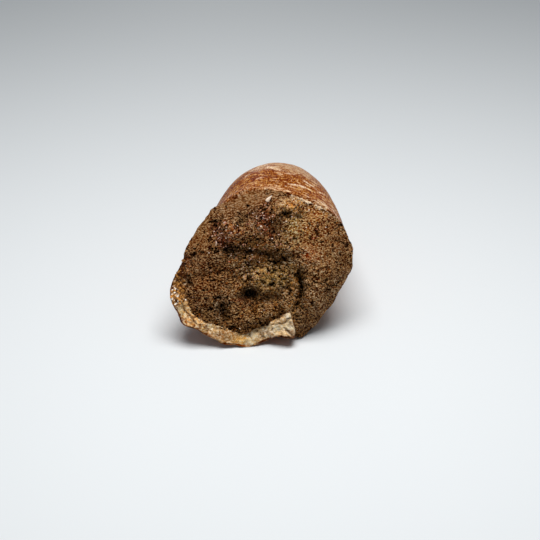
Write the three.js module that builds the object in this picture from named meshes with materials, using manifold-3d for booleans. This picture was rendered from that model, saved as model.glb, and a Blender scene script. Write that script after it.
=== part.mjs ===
// A fossil dinosaur tooth: the broken-off crown of a stout conical theropod tooth, lying on its side.
// Two natural pieces make it up. The tooth itself is a thick dentine wall under a thin enamel skin,
// hollow where the pulp was. Sandstone filled that hollow, and it laps over parts of the broken rim.
//
// Millimetres, +Z up. The tooth lies on z = 0, the break faces -Y and is tipped up a little, and the
// tip points to +Y. The origin is under the middle of the footprint.
import * as THREE from "three";
import { mergeVertices } from "three/addons/utils/BufferGeometryUtils.js";
import Module from "manifold-3d";

const wasm = await Module();
wasm.setup();

const degrees = THREE.MathUtils.degToRad;
const { smoothstep, lerp } = THREE.MathUtils;

// ---- Driving dimensions -------------------------------------------------------------------------

// The break is a tipped plane with its middle at faceCentre. Places on it are (a, b): a to the right
// and b up the slope as seen by someone facing the break. Heights stand out from it.
const faceCentre = new THREE.Vector3(0, -16.6, 12.75);
const facePitch = 25;
const faceYaw = 4;

// The crown's centre line runs from the break to the tip, and its sections turn as they go.
const bendPoint = new THREE.Vector3(3.1, 10.4, 8.6);
const tipPoint = new THREE.Vector3(8.2, 22.4, 2.6);
const tipPitch = 45;
const tipYaw = 12;
const taperPower = 1.15;
const taperRoot = 0.72;

// The outline at the break is a circle with four waves on it: [waves round, height, first crest].
const rimRadius = 12.83;
const rimWaves = [
  [1, 1.23, -86],
  [2, 1.26, 31],
  [3, 0.49, -20],
  [4, 0.54, 22],
];
// Further along it becomes an oval, half-widths ovalWide and ovalTall, turned by ovalTurn.
const ovalWide = 14.3;
const ovalTall = 15.4;
const ovalTurn = 10;
const ovalFrom = 0.5;

// Corners, lips and chips of the broken rim: [angle, half-width, height], which fade along the crown.
const rimChips = [
  [196, 8, 0.85],
  [205, 5, 0.35],
  [215.5, 5, 0.8],
  [225, 4, -0.25],
  [244, 7, 0.55],
  [258.5, 8.5, 0.9],
  [279, 6, -0.75],
  [290.5, 3.5, 0.3],
];
const chipFade = 0.12;

// Two keels, or carinae, run down opposite sides to the tip: [angle, half-width, height].
const keels = [
  [-14, 7, 0.55],
  [192, 7, 0.6],
];

// The side it lies on swells a little over the first half of its length.
const bellyAngle = 246;
const bellyHalfWidth = 24;
const bellySwell = 0.55;

// The pulp cavity: the wall's thickness at the rim, its two thick places, and how deep it goes.
const wallThickness = 1.95;
const wallThickPlaces = [
  [262, 16, 0.45],
  [290, 6.5, 2.2],
];
const cavityDepth = 0.5;
const seam = 0.3;

// How high the broken end of the wall stands, by angle. It is low where the sandstone hides it.
const rimHeights = [
  [0, -3.2],
  [26, -2.7],
  [34, -1.9],
  [80, -1.8],
  [128, -2.0],
  [138, -3.0],
  [169, -2.9],
  [175, -1.6],
  [187, -1.0],
  [200, -0.2],
  [225, 0.25],
  [245, 0.0],
  [258, -0.25],
  [272, -0.3],
  [284, 0.7],
  [291.6, 0.8],
  [292.8, -3.2],
];

// The sandstone's outline on the break, by angle.
const sandstoneOutline = [
  [3, 15.05],
  [14, 14.6],
  [25, 14.3],
  [33, 13.5],
  [42, 12.6],
  [52, 12],
  [62, 11.6],
  [81, 11.55],
  [99, 11.1],
  [110, 10.95],
  [120, 11.1],
  [130, 11.5],
  [142, 11.35],
  [161, 11.8],
  [168, 12.4],
  [174.5, 12.45],
  [183, 12.3],
  [192, 12.75],
  [197.5, 13.4],
  [205, 13.9],
  [212, 13.85],
  [219, 13.9],
  [225, 13.8],
  [229, 13.1],
  [239, 12.4],
  [252, 11.85],
  [257, 11.75],
  [264, 10.85],
  [273, 10.4],
  [283.5, 9.8],
  [288.5, 9.65],
  [290.5, 9.3],
  [292, 13.6],
  [295, 14],
  [298, 14.3],
  [302, 14.1],
  [306, 13.95],
  [313, 13.5],
  [335, 13.45],
  [343, 13.85],
  [352, 14.7],
];
// Its edge falls back all round: [angle, fall]. Beside the bare wall it hardly does.
const sandstoneEdgeFall = [
  [0, 2.6],
  [60, 1.9],
  [110, 1.9],
  [150, 2.6],
  [180, 1.8],
  [205, 0.7],
  [290, 0.6],
  [298, 4.6],
  [308, 3.7],
  [330, 3.0],
];

// Lumps and hollows of the broken sandstone, the steeper the flatter on top:
// [a, b, half-length, half-width, turn, height, steepness].
const sandstoneRelief = [
  [1.3, -3.1, 5.1, 4.3, 0, -2.0, 2.5],
  [1.6, -3.3, 3.5, 2.7, 0, 1.5, 1.5],
  [-2.1, -5.5, 1.4, 0.8, 15, -2.3, 1.5],
  [6.2, -4.3, 0.6, 2.2, 0, -1.6, 1.5],
  [-0.5, 1.4, 4.8, 0.8, -6, -0.7, 1],
  [-7.0, 5.6, 0.7, 1.2, 0, -0.9, 1],
  [-6.5, 3.9, 0.9, 1.3, 20, -1.1, 1],
  [-5.1, 2.2, 1.4, 0.9, -20, -1.0, 1],
  [-5.0, 5.7, 1.3, 1.2, 0, 1.0, 1],
  [-3.3, 4.6, 2.0, 1.5, 0, 0.8, 1],
  [-1.6, 7.3, 1.0, 1.4, 0, -0.5, 1],
  [0.3, 6.8, 1.1, 2.3, 0, 0.6, 1],
  [2.0, 4.8, 0.8, 1.6, 10, -0.6, 1],
  [2.4, 7.6, 0.9, 1.4, 0, 0.5, 1],
  [4.9, 9.1, 2.0, 1.0, -10, 0.9, 1.5],
  [5.5, 4.6, 0.8, 2.0, 0, 0.4, 1],
  [9.4, 4.5, 3.4, 4.0, 0, 0.6, 1.5],
  [7.3, 0.3, 1.4, 1.2, 0, 0.5, 1],
  [9.4, -4.8, 3.0, 4.6, 0, 0.9, 2],
  [5.4, -7.3, 0.8, 1.2, 0, -0.7, 1],
  [-4.0, -3.8, 0.9, 1.0, 0, 0.8, 1.5],
  [-0.1, -8.3, 4.4, 1.1, 22, 1.0, 1],
  [-0.3, -6.5, 3.0, 0.7, 20, -0.6, 1],
  [-6.7, -7.6, 0.7, 2.0, 5, -0.9, 1],
  [-8.3, 1.5, 2.1, 1.7, 0, 0.7, 1],
  [-10.4, -0.6, 1.4, 1.2, 0, 0.4, 1],
  [-9.5, -1.9, 1.8, 0.7, 10, -0.4, 1],
  [-9.4, -4.1, 2.7, 2.3, 0, 0.6, 1],
  [-12.0, -2.8, 0.8, 0.8, 0, -0.6, 1],
  [-11.9, 1.0, 0.8, 1.0, 0, -0.5, 1],
];

// ---- Shape functions ----------------------------------------------------------------------------

// The unit vectors of a section: across to the right, up the slope, and out towards the break.
function sectionAxes(yaw, pitch) {
  const across = new THREE.Vector3(Math.cos(yaw), Math.sin(yaw), 0);
  const out = new THREE.Vector3(
    Math.sin(yaw) * Math.cos(pitch),
    -Math.cos(yaw) * Math.cos(pitch),
    Math.sin(pitch),
  );
  return { across, up: out.clone().cross(across), out };
}

const faceAxes = sectionAxes(degrees(faceYaw), degrees(facePitch));

// A row of [angle, value] pairs read as one closed outline.
function closedCurve(pairs) {
  const before = pairs.slice(-2).map(([angle, value]) => [angle - 360, value]);
  const after = pairs.slice(0, 2).map(([angle, value]) => [angle + 360, value]);
  const all = [...before, ...pairs, ...after];
  const curve = new THREE.LinearInterpolant(
    all.map(([angle]) => angle),
    all.map(([, value]) => value),
    1,
  );
  return (angle) =>
    curve.evaluate(THREE.MathUtils.euclideanModulo(THREE.MathUtils.radToDeg(angle), 360))[0];
}

// The sum of soft bumps round a circle: [angle, half-width, height] each.
function bumpsAt(bumps, angle) {
  return bumps.reduce((sum, [middle, halfWidth, height]) => {
    const turn = angle - degrees(middle);
    const away = Math.atan2(Math.sin(turn), Math.cos(turn)) / degrees(halfWidth);
    return sum + height * Math.exp(-away * away);
  }, 0);
}

// The crown's radius at a share of its length, 0 at the break and 1 at the tip.
function crownRadius(along, angle) {
  const share = Math.max(along, 0);
  const rim = rimWaves.reduce(
    (sum, [waves, height, crest]) => sum + height * Math.cos(waves * (angle - degrees(crest))),
    rimRadius,
  );
  const turned = angle - degrees(ovalTurn);
  const oval =
    (ovalWide * ovalTall) /
    Math.hypot(ovalTall * Math.cos(turned), ovalWide * Math.sin(turned));
  const taper = (1 - share ** taperPower) ** taperRoot;
  const keel = bumpsAt(keels, angle) * smoothstep(share, 0.06, 0.3) * Math.min(1, 2.5 * taper);
  const chips = bumpsAt(rimChips, angle) * (1 - smoothstep(share, 0, chipFade));
  const belly =
    bumpsAt([[bellyAngle, bellyHalfWidth, bellySwell]], angle) *
    smoothstep(share, 0, 0.2) *
    (1 - smoothstep(share, 0.35, 0.75));
  return taper * lerp(rim, oval, smoothstep(share, 0, ovalFrom)) + keel + chips + belly;
}

// The pulp cavity is the crown's own section less the wall, and it narrows to a point.
function cavityRadius(along, angle) {
  const wall = wallThickness + bumpsAt(wallThickPlaces, angle) * (1 - smoothstep(along, 0, chipFade));
  const depth = Math.min(Math.max(along, 0) / cavityDepth, 1);
  return (crownRadius(along, angle) - wall) * (1 - depth ** 1.6) ** 0.7;
}

// Bodies of crown sections start this share of the length in front of the break, to be cut there.
const beforeBreak = -0.12;

const centreLine = new THREE.QuadraticBezierCurve3(faceCentre, bendPoint, tipPoint);
const crownLength = centreLine.getLength();

// A point of a crown section. Before the break, along is negative and sections stack straight out.
function crownPoint(along, angle, radius) {
  const share = Math.max(along, 0);
  const { across, up } = sectionAxes(
    degrees(lerp(faceYaw, tipYaw, share)),
    degrees(lerp(facePitch, tipPitch, share)),
  );
  return centreLine
    .getPoint(share)
    .addScaledVector(faceAxes.out, -Math.min(along, 0) * crownLength)
    .addScaledVector(across, radius * Math.cos(angle))
    .addScaledVector(up, radius * Math.sin(angle));
}

function facePoint(a, b, height) {
  return faceCentre
    .clone()
    .addScaledVector(faceAxes.across, a)
    .addScaledVector(faceAxes.up, b)
    .addScaledVector(faceAxes.out, height);
}

const rimHeightAt = closedCurve(rimHeights);
const sandstoneRadiusAt = closedCurve(sandstoneOutline);
const edgeFallAt = closedCurve(sandstoneEdgeFall);

function rimHeight(a, b) {
  return rimHeightAt(Math.atan2(b, a));
}

function sandstoneHeight(a, b) {
  const angle = Math.atan2(b, a);
  const reach = Math.hypot(a, b) / sandstoneRadiusAt(angle);
  const edge = -edgeFallAt(angle) * smoothstep(reach, 0.62, 1.12) ** 1.5;
  return sandstoneRelief.reduce((sum, [middleA, middleB, halfLength, halfWidth, turn, height, steep]) => {
    const cos = Math.cos(degrees(turn));
    const sin = Math.sin(degrees(turn));
    const lengthwise = ((a - middleA) * cos + (b - middleB) * sin) / halfLength;
    const crosswise = ((b - middleB) * cos - (a - middleA) * sin) / halfWidth;
    return sum + height * Math.exp(-((lengthwise ** 2 + crosswise ** 2) ** steep));
  }, edge);
}

// ---- Solids -------------------------------------------------------------------------------------

// A closed geometry's vertices are moved one by one, and it becomes a solid that can be cut.
function solidFrom(geometry) {
  geometry.deleteAttribute("normal");
  geometry.deleteAttribute("uv");
  const merged = mergeVertices(geometry, 1e-4);
  return new wasm.Manifold(
    new wasm.Mesh({
      numProp: 3,
      vertProperties: new Float32Array(merged.getAttribute("position").array),
      triVerts: new Uint32Array(merged.index.array),
    }),
  );
}

// A globe whose parallels become the rings of a closed body, from its front pole to its rear one:
// place(row, angle) gives each point.
function ringSolid(around, rows, place) {
  const globe = new THREE.SphereGeometry(1, around, rows);
  const position = globe.getAttribute("position");
  for (let i = 0; i < position.count; i++) {
    const row = Math.floor(i / (around + 1));
    const column = (i % (around + 1)) % around;
    const point = place(row, (column / around) * 2 * Math.PI);
    position.setXYZ(i, point.x, point.y, point.z);
  }
  return solidFrom(globe);
}

// A body of crown sections: stations are shares of the crown's length, from before the break to the
// tip, and radiusAt gives each ring. The first and last stations close to a point on the line.
function crownBody(around, stations, radiusAt) {
  const last = stations.length - 1;
  return ringSolid(around, last, (row, angle) => {
    const radius = row === 0 || row === last ? 0 : radiusAt(stations[row], angle);
    return crownPoint(stations[row], angle, radius);
  });
}

// All that was broken away in front of a relief: a block whose rear face has the relief's shape.
function brokenAway(cells, heightAt) {
  const width = 33;
  const depth = 12;
  const block = new THREE.BoxGeometry(width, width, depth, cells, cells, 1);
  const position = block.getAttribute("position");
  for (let i = 0; i < position.count; i++) {
    const a = position.getX(i);
    const b = position.getY(i);
    const height = position.getZ(i) < 0 ? heightAt(a, b) : depth;
    const point = facePoint(a, b, height);
    position.setXYZ(i, point.x, point.y, point.z);
  }
  return solidFrom(block);
}

// Shares of the length for the outer skin, closer together towards the tip.
function outerStations(rows) {
  const shares = Array.from({ length: rows }, (_, i) => 1 - (1 - i / (rows - 1)) ** 1.35);
  return [beforeBreak, beforeBreak, beforeBreak / 2, ...shares];
}

function cavityStations(rows) {
  const shares = Array.from({ length: rows }, (_, i) => cavityDepth * (i / (rows - 1)));
  return [1.2 * beforeBreak, 1.2 * beforeBreak, ...shares];
}

// The flat the tooth rests on: everything under the ground is worn away.
function belowGround() {
  const size = 80;
  return solidFrom(new THREE.BoxGeometry(size, size, size).translate(0, 0, -size / 2));
}

function skinBody(grow) {
  return crownBody(64, outerStations(20), (along, angle) => crownRadius(along, angle) + grow);
}

function cavityBody(shrink) {
  return crownBody(48, cavityStations(7), (along, angle) =>
    Math.max(cavityRadius(along, angle) - shrink, 0.01),
  );
}

const ground = belowGround();

const toothSolid = skinBody(0)
  .subtract(cavityBody(0))
  .subtract(brokenAway(36, rimHeight))
  .subtract(ground);

// The wall grown by the seam on every side, so that the sandstone stays clear of it.
const grownWall = skinBody(seam)
  .subtract(cavityBody(seam))
  .subtract(brokenAway(36, (a, b) => rimHeight(a, b) + seam));

// The sandstone cap: rings of its outline, [height, share of the outline], from in front to behind.
const capRings = [
  [4, 0],
  [4, 1],
  [-2.2, 1],
  [-3.6, 0.96],
  [-5.5, 0.86],
  [-7.5, 0.72],
  [-7.5, 0],
];
const cap = ringSolid(72, capRings.length - 1, (row, angle) => {
  const [height, share] = capRings[row];
  const radius = share * sandstoneRadiusAt(angle);
  return facePoint(radius * Math.cos(angle), radius * Math.sin(angle), height);
});
// The plug stays a hair inside the hollow that the grown wall leaves, so that the two join cleanly.
const plug = cavityBody(seam + 0.02);

const sandstoneSolid = cap
  .subtract(grownWall)
  .add(plug)
  .subtract(brokenAway(38, sandstoneHeight))
  .subtract(ground);

// ---- The part -----------------------------------------------------------------------------------

function meshOf(name, solid, material) {
  const { vertProperties, triVerts } = solid.getMesh();
  const geometry = new THREE.BufferGeometry();
  geometry.setAttribute("position", new THREE.BufferAttribute(vertProperties, 3));
  geometry.setIndex(new THREE.BufferAttribute(triVerts, 1));
  geometry.computeVertexNormals();
  const mesh = new THREE.Mesh(geometry, material);
  mesh.name = name;
  return mesh;
}

const enamel = new THREE.MeshStandardMaterial({ color: 0xa5683c, roughness: 0.35, metalness: 0 });
const sandstone = new THREE.MeshStandardMaterial({ color: 0x6a4f32, roughness: 0.9, metalness: 0 });

const part = new THREE.Group();
part.add(meshOf("tooth_crown", toothSolid, enamel));
part.add(meshOf("sandstone_matrix", sandstoneSolid, sandstone));

export default part;
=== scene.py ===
import bmesh
import bpy
import numpy as np
from mathutils import Matrix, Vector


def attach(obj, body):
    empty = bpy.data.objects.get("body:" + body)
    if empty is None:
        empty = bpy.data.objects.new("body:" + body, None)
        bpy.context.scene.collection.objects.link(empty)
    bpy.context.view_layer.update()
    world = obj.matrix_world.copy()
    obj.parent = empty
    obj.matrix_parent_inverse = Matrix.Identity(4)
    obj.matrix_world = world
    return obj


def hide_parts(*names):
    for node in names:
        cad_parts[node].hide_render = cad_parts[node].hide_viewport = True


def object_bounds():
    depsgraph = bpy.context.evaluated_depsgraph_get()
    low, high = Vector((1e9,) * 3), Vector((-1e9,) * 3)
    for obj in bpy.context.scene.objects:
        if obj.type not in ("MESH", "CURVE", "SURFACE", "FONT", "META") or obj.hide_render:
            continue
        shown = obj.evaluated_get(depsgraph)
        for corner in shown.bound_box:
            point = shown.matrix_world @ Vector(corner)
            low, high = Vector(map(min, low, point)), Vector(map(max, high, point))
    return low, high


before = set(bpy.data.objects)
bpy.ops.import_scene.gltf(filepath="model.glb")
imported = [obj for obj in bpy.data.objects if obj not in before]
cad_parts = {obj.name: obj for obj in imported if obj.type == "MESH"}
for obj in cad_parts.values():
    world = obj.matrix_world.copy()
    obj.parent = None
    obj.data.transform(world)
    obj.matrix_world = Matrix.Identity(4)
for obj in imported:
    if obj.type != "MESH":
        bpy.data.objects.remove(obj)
cad_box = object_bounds()

# ---- The table and its light --------------------------------------------------------------------
# A loose fossil on a pale seamless table, under one soft box straight above it and a wide pale room.
# The eye is 204 mm from the break, looks down 30 degrees and has a long portrait lens.

MM = 0.001
BREAK_CENTRE = np.array([0.0, -16.6, 12.75])
EYE_DISTANCE = 204
EYE_ELEVATION = np.radians(30)
AIM_ASIDE = 1.28

to_right = np.array([1.0, 0.0, 0.0])
to_top = np.array([0.0, np.sin(EYE_ELEVATION), np.cos(EYE_ELEVATION)])
ahead = np.cross(to_top, to_right)
eye = BREAK_CENTRE + AIM_ASIDE * (to_right - to_top) - EYE_DISTANCE * ahead


def placed(axes, place):
    """The matrix of an object at a place in millimetres, whose own axes are the columns of axes."""
    return Matrix([[*row, spot * MM] for row, spot in zip(axes, place)] + [[0, 0, 0, 1]])


lens = bpy.data.cameras.new("camera")
lens.lens = 85
lens.sensor_width = 36
lens.clip_start = 0.01
camera = bpy.data.objects.new("camera", lens)
camera.matrix_world = placed(np.stack([to_right, to_top, -ahead], 1), eye)
bpy.context.scene.collection.objects.link(camera)
bpy.context.scene.camera = camera
bpy.context.scene.view_settings.view_transform = "Standard"


def linear(red, green, blue):
    """A colour of 0-255 screen values as the linear red, green, blue and alpha that shaders take."""
    share = np.array([red, green, blue]) / 255
    light = np.where(share <= 0.04045, share / 12.92, ((share + 0.055) / 1.055) ** 2.4)
    return [*light.tolist(), 1.0]


def soft_box(name, place, aim, wide, high, watts, colour):
    """A rectangular lamp at place that faces aim, both in millimetres."""
    data = bpy.data.lights.new(name, "AREA")
    data.shape = "RECTANGLE"
    data.size = wide * MM
    data.size_y = high * MM
    data.energy = watts
    data.color = colour
    lamp = bpy.data.objects.new(name, data)
    back = np.array(place, float) - np.array(aim, float)
    back /= np.linalg.norm(back)
    aside = np.cross([0.0, 1.0, 0.001], back)
    aside /= np.linalg.norm(aside)
    lamp.matrix_world = placed(np.stack([aside, np.cross(back, aside), back], 1), place)
    bpy.context.scene.collection.objects.link(lamp)


soft_box("overhead_box", (6, -31, 195), (0, -20, 0), 145, 120, 0.43, (1.0, 0.995, 0.98))
soft_box("back_box", (-26, 340, 52), (0, 0, 15), 60, 30, 0.045, (1.0, 0.98, 0.95))

room = bpy.data.worlds.new("room")
bpy.context.scene.world = room
room.use_nodes = True
walls = room.node_tree.nodes["Background"].inputs
walls["Color"].default_value = (0.86, 0.94, 1.0, 1)
walls["Strength"].default_value = 0.16

TABLE_HALF = 3000
TABLE_DROP = 0.02
table_mesh = bpy.data.meshes.new("table_top")
corners = TABLE_HALF * np.array([(-1, -1, 0), (1, -1, 0), (1, 1, 0), (-1, 1, 0)]) - [0, 0, TABLE_DROP]
table_mesh.from_pydata(corners * MM, [], [(0, 1, 2, 3)])
table_top = bpy.data.objects.new("table_top", table_mesh)
bpy.context.scene.collection.objects.link(table_top)
table_paint = bpy.data.materials.new("table_paint")
table_paint.use_nodes = True
paint = table_paint.node_tree.nodes["Principled BSDF"]
paint.inputs["Base Color"].default_value = (0.79, 0.817, 0.84, 1)
paint.inputs["Roughness"].default_value = 0.75
table_mesh.materials.append(table_paint)

# ---- Tooth crown --------------------------------------------------------------------------------
# The crown of a stout, slightly recurved conical tooth: a thick dentine wall round the pulp cavity,
# under a thin skin of enamel. It grew as one piece. The base is broken off, and the broken wall
# stands bare at the lower left. Its sections are waved ovals along a bent centre line.

BREAK_PITCH, BREAK_YAW = 25, 4
TIP_PITCH, TIP_YAW = 45, 12
BEND_POINT = np.array([3.1, 10.4, 8.6])
TIP_POINT = np.array([8.2, 22.4, 2.6])
RIM_RADIUS = 12.83
RIM_WAVES = [(1, 1.23, -86), (2, 1.26, 31), (3, 0.49, -20), (4, 0.54, 22)]
OVAL_WIDE, OVAL_TALL, OVAL_TURN, OVAL_FROM = 14.3, 15.4, 10, 0.5
TAPER_POWER, TAPER_ROOT = 1.15, 0.72
# Soft bumps round the section: (angle, half-width, height), in degrees and millimetres.
RIM_CHIPS = [
    (196, 8, 0.8), (205, 5, 0.3), (215.5, 5, 0.75), (225, 4, -0.25), (244, 7, 0.55), (258.5, 8.5, 0.9),
    (279, 6, -0.75), (290.5, 3.5, 0.3),
]
CHIP_FADE = 0.12
KEELS = [(-14, 7, 0.55), (192, 7, 0.6)]
BELLY = [(246, 24, 0.55)]
WALL = 1.95
WALL_THICK_PLACES = [(262, 16, 0.45), (290, 6.5, 2.2)]
CAVITY_DEPTH = 0.5
# How far the broken wall stands out from the break's plane: (angle, height).
RIM_HEIGHTS = [
    (0, -3.2), (26, -2.7), (34, -1.9), (80, -1.8), (128, -2.0), (138, -3.0), (169, -2.9), (175, -1.6),
    (187, -1.0), (200, -0.3), (225, 0.1), (245, -0.2), (258, -0.45), (272, -0.5), (284, 0.5), (291.6, 0.6),
    (292.8, -3.2),
]


def mix(first, second, share):
    """The first plus a share of the way to the second."""
    return first + (second - first) * share


def ease(value, low, high):
    """0 below low, 1 above high, and a smooth step between them."""
    share = np.clip((value - low) / (high - low), 0, 1)
    return share * share * (3 - 2 * share)


def bell(value, middle, half_width, power=2):
    """A soft hump: 1 at the middle and 0.37 at a half-width from it. More power squares its top."""
    return np.exp(-(((value - middle) / half_width) ** power))


def corner_noise(cells, seed):
    """A repeatable random number from 0 to 1 for each whole-number cell: its three coordinates are
    multiplied by large odd numbers, and the products are mixed bit by bit."""
    x, y, z = np.moveaxis(cells.astype(np.int64).astype(np.uint64), -1, 0)
    mixed = x * np.uint64(73856093) ^ y * np.uint64(19349663) ^ z * np.uint64(83492791)
    mixed = (mixed + np.uint64(seed * 2654435761 + 1)) * np.uint64(0x9E3779B97F4A7C15)
    mixed = (mixed ^ (mixed >> np.uint64(31))) * np.uint64(0xD6E8FEB86659FD93)
    mixed = mixed ^ (mixed >> np.uint64(32))
    return (mixed & np.uint64(0xFFFFFF)).astype(float) / 0xFFFFFF


def smooth_noise(places, size, seed):
    """Noise from -1 to 1: random heights at the corners of cubes of this size, blended smoothly."""
    scaled = np.asarray(places) / size
    cell = np.floor(scaled)
    inside = scaled - cell
    inside = inside * inside * (3 - 2 * inside)
    total = 0
    for corner in np.ndindex(2, 2, 2):
        weight = np.prod(np.where(corner, inside, 1 - inside), axis=-1)
        total = total + weight * corner_noise(cell + corner, seed)
    return 2 * total - 1


def roughness(places, size, seed, octaves=4, fall=0.55):
    """Smooth noise of this size, plus finer and finer noise, each half as wide and weaker by fall."""
    return sum(fall**k * smooth_noise(places, size / 2**k, seed + k) for k in range(octaves))


def bumps(angle, table):
    """The sum of soft bumps round a circle at an angle in radians."""
    total = 0
    for middle, half_width, height in table:
        turn = angle - np.radians(middle)
        total = total + height * bell(np.degrees(np.arctan2(np.sin(turn), np.cos(turn))), 0, half_width)
    return total


def outline(table, angle, soften=1.5):
    """A closed row of (angle, value) pairs read at an angle in radians, averaged over a few degrees."""
    degrees, values = np.array(table, float).T
    reads = [np.interp(np.degrees(angle) + k * soften, degrees, values, period=360) for k in (-1, 0, 1)]
    return sum(reads) / 3


def section_axes(yaw, pitch):
    """A section's unit vectors, its turns in degrees: across to the right, up its face, out of it."""
    yaw, pitch = np.radians(yaw), np.radians(pitch)
    across = np.stack([np.cos(yaw), np.sin(yaw), 0 * yaw], -1)
    out = np.stack([np.sin(yaw) * np.cos(pitch), -np.cos(yaw) * np.cos(pitch), np.sin(pitch)], -1)
    return across, np.cross(out, across), out


break_across, break_up, break_out = section_axes(BREAK_YAW, BREAK_PITCH)


def centre_line(along):
    """The quadratic curve from the break to the tip, and the straight run out in front of it."""
    share = np.maximum(along, 0)[..., None]
    return (1 - share) ** 2 * BREAK_CENTRE + 2 * share * (1 - share) * BEND_POINT + share**2 * TIP_POINT


crown_length = np.linalg.norm(np.diff(centre_line(np.linspace(0, 1, 200)), axis=0), axis=1).sum()


def crown_radius(along, angle):
    """The section's radius at a share of the crown's length: a waved circle at the break that turns
    into an oval, tapered as (1 - share ** power) ** root, with the keels, chips and belly on it."""
    share = np.maximum(along, 0)
    rim = RIM_RADIUS
    for waves, height, crest in RIM_WAVES:
        rim = rim + height * np.cos(waves * (angle - np.radians(crest)))
    turned = angle - np.radians(OVAL_TURN)
    oval = OVAL_WIDE * OVAL_TALL / np.hypot(OVAL_TALL * np.cos(turned), OVAL_WIDE * np.sin(turned))
    taper = (1 - share**TAPER_POWER) ** TAPER_ROOT
    keel = bumps(angle, KEELS) * ease(share, 0.06, 0.3) * np.minimum(1, 2.5 * taper)
    chips = bumps(angle, RIM_CHIPS) * (1 - ease(share, 0, CHIP_FADE))
    belly = bumps(angle, BELLY) * ease(share, 0, 0.2) * (1 - ease(share, 0.35, 0.75))
    return taper * mix(rim, oval, ease(share, 0, OVAL_FROM)) + keel + chips + belly


def cavity_radius(along, angle):
    """The pulp cavity: the crown's radius less the wall, narrowed to nothing at its deep end."""
    wall = WALL + bumps(angle, WALL_THICK_PLACES) * (1 - ease(along, 0, CHIP_FADE))
    depth = np.clip(along / CAVITY_DEPTH, 0, 1)
    return (crown_radius(along, angle) - wall) * (1 - depth**1.6) ** 0.7


def crown_point(along, angle, radius):
    """The point of a section at an angle and a radius. The sections turn evenly towards the tip."""
    share = np.maximum(along, 0)
    across, up, _ = section_axes(mix(BREAK_YAW, TIP_YAW, share), mix(BREAK_PITCH, TIP_PITCH, share))
    ahead_of_break = -np.minimum(along, 0)[..., None] * crown_length * break_out
    aside = (radius * np.cos(angle))[..., None] * across + (radius * np.sin(angle))[..., None] * up
    return centre_line(along) + ahead_of_break + aside


def break_point(a, b, height):
    """The point of the break at a to the right and b up its slope, standing out by height."""
    spread = np.stack(np.broadcast_arrays(a, b, height), -1)
    return BREAK_CENTRE + spread @ np.stack([break_across, break_up, break_out])


def break_places(points):
    """The opposite: a, b and height of points."""
    return (points - BREAK_CENTRE) @ np.stack([break_across, break_up, break_out], 1)


SEARCH_FROM, SEARCH_TO, SEARCH_STEPS = -0.12, 0.4, 24


def share_at_height(angle, radius_at, height):
    """The share of the length at which a wall's surface is at a height over the break, by halving."""
    low = np.full_like(angle, SEARCH_FROM)
    high = np.full_like(angle, SEARCH_TO)
    for _ in range(SEARCH_STEPS):
        middle = (low + high) / 2
        above = break_places(crown_point(middle, angle, radius_at(middle, angle)))[..., 2] > height
        low = np.where(above, middle, low)
        high = np.where(above, high, middle)
    return (low + high) / 2


def poled(values):
    """One value for each vertex of a ring mesh, from an array of [row, column, ...]."""
    middle = values[1:-1].reshape(-1, *values.shape[2:])
    return np.concatenate([values[0, :1], middle, values[-1, :1]])


def new_piece(name, points, faces):
    """A new object in the scene, its points in millimetres held inside the CAD solids' box."""
    mesh = bpy.data.meshes.new(name)
    mesh.from_pydata(np.clip(points * MM, *np.array(cad_box)), [], faces)
    piece = bpy.data.objects.new(name, mesh)
    bpy.context.scene.collection.objects.link(piece)
    return piece


def ring_mesh(name, rings):
    """A closed smooth mesh of rings of points, [row, column, xyz] in millimetres. The first and the
    last row lie at their own middle point."""
    rows, columns, _ = rings.shape
    points = poled(rings)
    ring = 1 + np.arange((rows - 2) * columns).reshape(rows - 2, columns)
    beside = np.roll(ring, -1, axis=1)
    quads = np.stack([ring[:-1], ring[1:], beside[1:], beside[:-1]], -1).reshape(-1, 4)
    first = np.stack([np.zeros(columns, int), ring[0], beside[0]], -1)
    last = np.stack([np.full(columns, len(points) - 1), beside[-1], ring[-1]], -1)
    piece = new_piece(name, points, quads.tolist() + first.tolist() + last.tolist())
    piece.data.shade_smooth()
    return piece


def set_tint(piece, colours):
    """Writes linear colours, one for each vertex, as the piece's tint."""
    tint = piece.data.attributes.new("tint", "FLOAT_COLOR", "POINT")
    tint.data.foreach_set("color", np.concatenate([colours, np.ones((len(colours), 1))], 1).ravel())


def set_number(piece, name, values):
    """Writes one number for each vertex as the piece's attribute of this name."""
    piece.data.attributes.new(name, "FLOAT", "POINT").data.foreach_set("value", np.ravel(values))


def tone(red, green, blue):
    """The same as linear, as an array without alpha, for sums with arrays."""
    return np.array(linear(red, green, blue)[:3])


def laid_over(colour, stain, share):
    """A colour with another laid over it by a share from 0 to 1, which has a value for each place."""
    return mix(colour, stain, np.asarray(share)[..., None])


def deepened(colour, depth):
    """A colour under a thicker stain: each channel to the power of depth, which is 1 for no change.
    It darkens towards its own hue, and a depth under 1 bleaches it."""
    return colour ** np.asarray(depth)[..., None]


def stained(base, a, b, stains):
    """A colour over the break with soft spots of stain on it, each laid over those before it:
    (a, b, half-width, half-height, strength, colour)."""
    colour = np.broadcast_to(base, (*np.shape(a), 3)).copy()
    for middle_a, middle_b, wide, high, strength, stain in stains:
        away = ((a - middle_a) / wide) ** 2 + ((b - middle_b) / high) ** 2
        colour = laid_over(colour, stain, strength * np.exp(-away))
    return colour


def cracks(a, b, table):
    """How deep narrow cracks are at a place. Each runs straight from one point to another and is
    (a, b, a, b, half-width, depth)."""
    depth = np.zeros(np.shape(a))
    for from_a, from_b, to_a, to_b, half_width, deepest in table:
        step = np.array([to_a - from_a, to_b - from_b])
        along = np.clip(((a - from_a) * step[0] + (b - from_b) * step[1]) / (step @ step), 0, 1)
        away = np.hypot(a - from_a - along * step[0], b - from_b - along * step[1])
        depth = np.maximum(depth, deepest * bell(away, 0, half_width))
    return depth


MEAN_RADIUS = 13


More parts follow.
